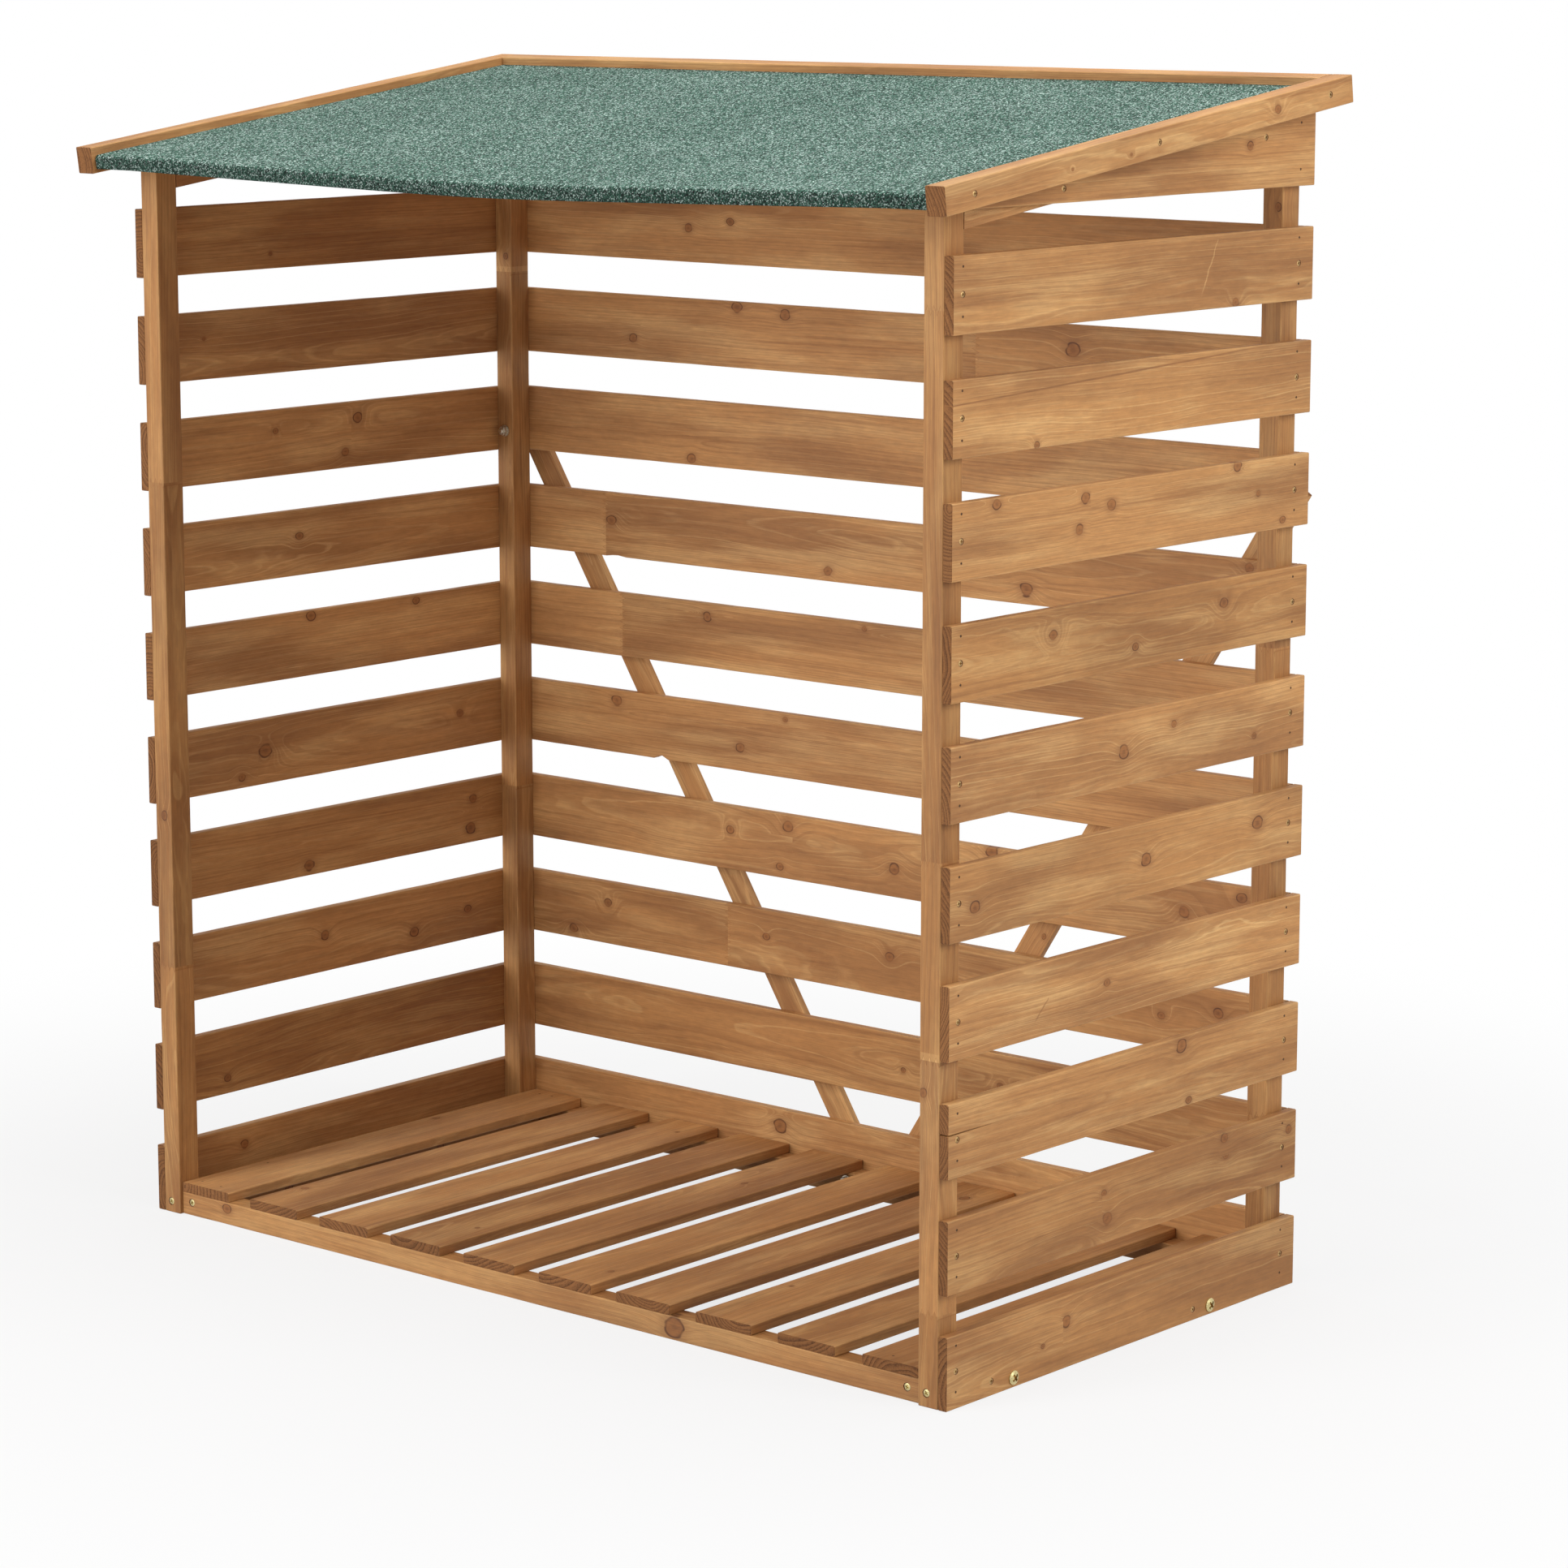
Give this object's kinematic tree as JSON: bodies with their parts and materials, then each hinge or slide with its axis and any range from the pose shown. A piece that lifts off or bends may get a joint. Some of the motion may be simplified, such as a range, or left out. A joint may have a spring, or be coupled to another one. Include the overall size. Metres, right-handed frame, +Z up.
{
  "type": "log store",
  "caption": "Open-fronted slatted timber log store: gapped side and back boards, raised slatted floor, crossed back braces and a sloped felt roof edged with trims.",
  "frame": {"origin": "on the ground, under the middle of the roof", "axes": "+Z up, +Y from the open front to the back, +X to the right as seen from the front"},
  "size_m": [1.16, 0.64, 1.23],
  "materials": {
    "slat_timber": "stained planed softwood, satin",
    "frame_timber": "stained planed softwood, satin",
    "deck_board": "raw sheet board",
    "roof_felt": "green mineral-faced bitumen felt"
  },
  "bodies": {
    "root": {"post_front_left": "frame_timber", "post_front_right": "frame_timber", "post_rear_left": "frame_timber", "post_rear_right": "frame_timber", "head_rail_left": "frame_timber", "head_rail_right": "frame_timber", "foot_rail_left": "frame_timber", "foot_rail_right": "frame_timber", "back_brace_left": "frame_timber", "back_brace_right": "frame_timber", "floor_rail_front": "frame_timber", "floor_rail_rear": "frame_timber", "floor_bearer_left": "frame_timber", "floor_bearer_right": "frame_timber", "side_slat_left_01": "slat_timber", "side_slat_left_02": "slat_timber", "side_slat_left_03": "slat_timber", "side_slat_left_04": "slat_timber", "side_slat_left_05": "slat_timber", "side_slat_left_06": "slat_timber", "side_slat_left_07": "slat_timber", "side_slat_left_08": "slat_timber", "side_slat_left_09": "slat_timber", "side_slat_left_10": "slat_timber", "side_slat_left_11": "slat_timber", "side_slat_right_01": "slat_timber", "side_slat_right_02": "slat_timber", "side_slat_right_03": "slat_timber", "side_slat_right_04": "slat_timber", "side_slat_right_05": "slat_timber", "side_slat_right_06": "slat_timber", "side_slat_right_07": "slat_timber", "side_slat_right_08": "slat_timber", "side_slat_right_09": "slat_timber", "side_slat_right_10": "slat_timber", "side_slat_right_11": "slat_timber", "back_slats": "slat_timber", "floor_boards": "slat_timber", "roof_trim_left": "frame_timber", "roof_trim_right": "frame_timber", "roof_trim_rear": "frame_timber", "roof_deck": "deck_board", "roof_felt": "roof_felt"}
  },
  "joints": []
}
